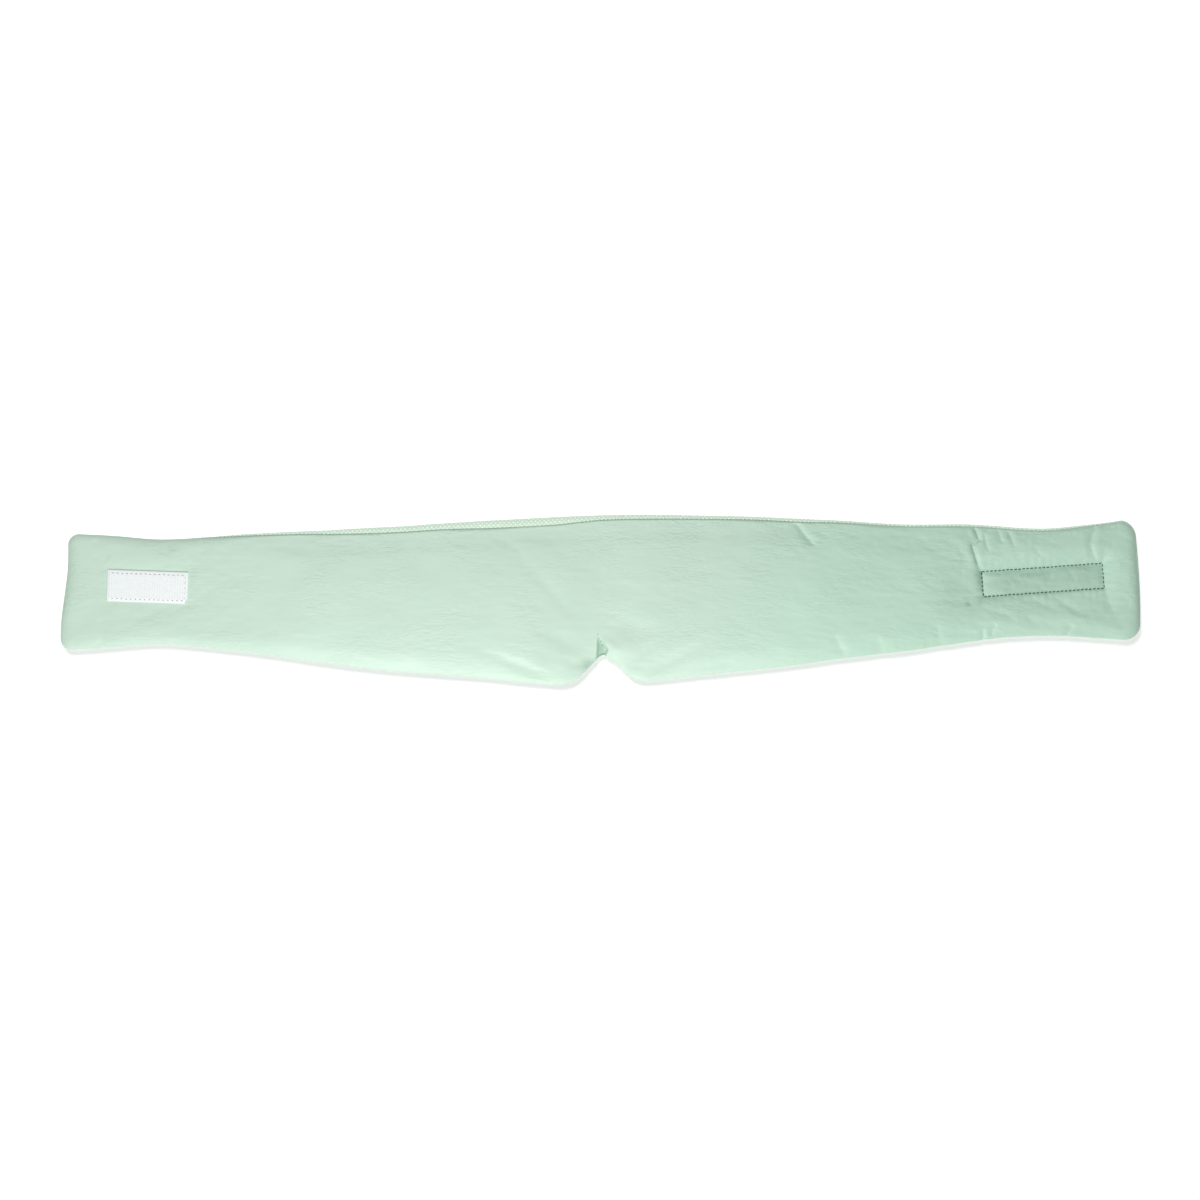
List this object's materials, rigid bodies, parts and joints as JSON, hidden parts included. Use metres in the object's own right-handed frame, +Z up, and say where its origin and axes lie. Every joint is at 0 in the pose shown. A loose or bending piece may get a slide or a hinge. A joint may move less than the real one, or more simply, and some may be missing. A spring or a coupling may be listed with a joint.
{
  "type": "eye patch",
  "caption": "Long padded wrap-round eye patch in soft green cloth, with a nose notch and a hook-and-loop closure at its ends.",
  "frame": {"origin": "under the middle of the bounding box, on the surface that the patch lies on", "axes": "lying flat with its face side up: +X along the band to the loop end, +Y to the brow edge, +Z up out of the face side"},
  "size_m": [0.686, 0.1083, 0.0122],
  "materials": {
    "inner_satin": "smooth satin weave",
    "outer_knit": "dotted knit, matt",
    "wadding": "matt fibre wadding",
    "hook_tape": "woven nylon with hooks",
    "loop_tape": "brushed nylon loops",
    "grey_thread": "sewing thread",
    "green_thread": "sewing thread"
  },
  "bodies": {
    "hook_end": {"inner_cover_hook_end": "inner_satin", "outer_cover_hook_end": "outer_knit", "padding_hook_end": "wadding", "hook_tape": "hook_tape", "hook_tape_stitching": "grey_thread"},
    "hook_rear": {"inner_cover_hook_rear": "inner_satin", "outer_cover_hook_rear": "outer_knit", "padding_hook_rear": "wadding"},
    "hook_side": {"inner_cover_hook_side": "inner_satin", "outer_cover_hook_side": "outer_knit", "padding_hook_side": "wadding"},
    "hook_temple": {"inner_cover_hook_temple": "inner_satin", "outer_cover_hook_temple": "outer_knit", "padding_hook_temple": "wadding"},
    "left_eye": {"inner_cover_left_eye": "inner_satin", "outer_cover_left_eye": "outer_knit", "padding_left_eye": "wadding", "nose_dart_stitching": "green_thread"},
    "right_eye": {"inner_cover_right_eye": "inner_satin", "outer_cover_right_eye": "outer_knit", "padding_right_eye": "wadding"},
    "loop_temple": {"inner_cover_loop_temple": "inner_satin", "outer_cover_loop_temple": "outer_knit", "padding_loop_temple": "wadding"},
    "loop_side": {"inner_cover_loop_side": "inner_satin", "outer_cover_loop_side": "outer_knit", "padding_loop_side": "wadding"},
    "loop_rear": {"inner_cover_loop_rear": "inner_satin", "outer_cover_loop_rear": "outer_knit", "padding_loop_rear": "wadding"},
    "loop_end": {"inner_cover_loop_end": "inner_satin", "outer_cover_loop_end": "outer_knit", "padding_loop_end": "wadding", "loop_tape": "loop_tape", "loop_tape_stitching": "green_thread"},
    "loop_tip": {"inner_cover_loop_tip": "inner_satin", "outer_cover_loop_tip": "outer_knit", "padding_loop_tip": "wadding"}
  },
  "joints": [
    {"name": "nose_flex", "type": "hinge", "parent": "right_eye", "child": "left_eye", "pos_m": [0.004, 0, 0.007], "axis": [0, 1, 0], "range_deg": [0, 21.34]},
    {"name": "left_wrap", "type": "hinge", "parent": "left_eye", "child": "hook_temple", "pos_m": [-0.0581, 0, 0.007], "axis": [0, 1, 0], "range_deg": [0, 43.62]},
    {"name": "left_wrap_2", "type": "hinge", "parent": "hook_temple", "child": "hook_side", "pos_m": [-0.1202, 0, 0.007], "axis": [0, 1, 0], "range_deg": [0, 40.77]},
    {"name": "left_wrap_3", "type": "hinge", "parent": "hook_side", "child": "hook_rear", "pos_m": [-0.1823, 0, 0.007], "axis": [0, 1, 0], "range_deg": [0, 40.16]},
    {"name": "left_wrap_4", "type": "hinge", "parent": "hook_rear", "child": "hook_end", "pos_m": [-0.2444, 0, 0.007], "axis": [0, 1, 0], "range_deg": [0, 45.13]},
    {"name": "right_wrap", "type": "hinge", "parent": "right_eye", "child": "loop_temple", "pos_m": [0.06225, 0, 0.007], "axis": [0, -1, 0], "range_deg": [0, 43.56]},
    {"name": "right_wrap_2", "type": "hinge", "parent": "loop_temple", "child": "loop_side", "pos_m": [0.1205, 0, 0.007], "axis": [0, -1, 0], "range_deg": [0, 40.62]},
    {"name": "right_wrap_3", "type": "hinge", "parent": "loop_side", "child": "loop_rear", "pos_m": [0.17875, 0, 0.007], "axis": [0, -1, 0], "range_deg": [0, 39.92]},
    {"name": "right_wrap_4", "type": "hinge", "parent": "loop_rear", "child": "loop_end", "pos_m": [0.237, 0, 0.007], "axis": [0, -1, 0], "range_deg": [0, 44.87]},
    {"name": "right_wrap_5", "type": "hinge", "parent": "loop_end", "child": "loop_tip", "pos_m": [0.325, 0, 0.007], "axis": [0, -1, 0], "range_deg": [0, 47.5]}
  ],
  "couplings": [
    {"joint": "nose_flex", "follows": "left_wrap", "ratio": 0.48923},
    {"joint": "left_wrap_2", "follows": "left_wrap", "ratio": 0.93462},
    {"joint": "left_wrap_3", "follows": "left_wrap", "ratio": 0.92063},
    {"joint": "left_wrap_4", "follows": "left_wrap", "ratio": 1.0345},
    {"joint": "right_wrap_2", "follows": "right_wrap", "ratio": 0.93232},
    {"joint": "right_wrap_3", "follows": "right_wrap", "ratio": 0.91644},
    {"joint": "right_wrap_4", "follows": "right_wrap", "ratio": 1.03},
    {"joint": "right_wrap_5", "follows": "right_wrap", "ratio": 1.0903}
  ]
}
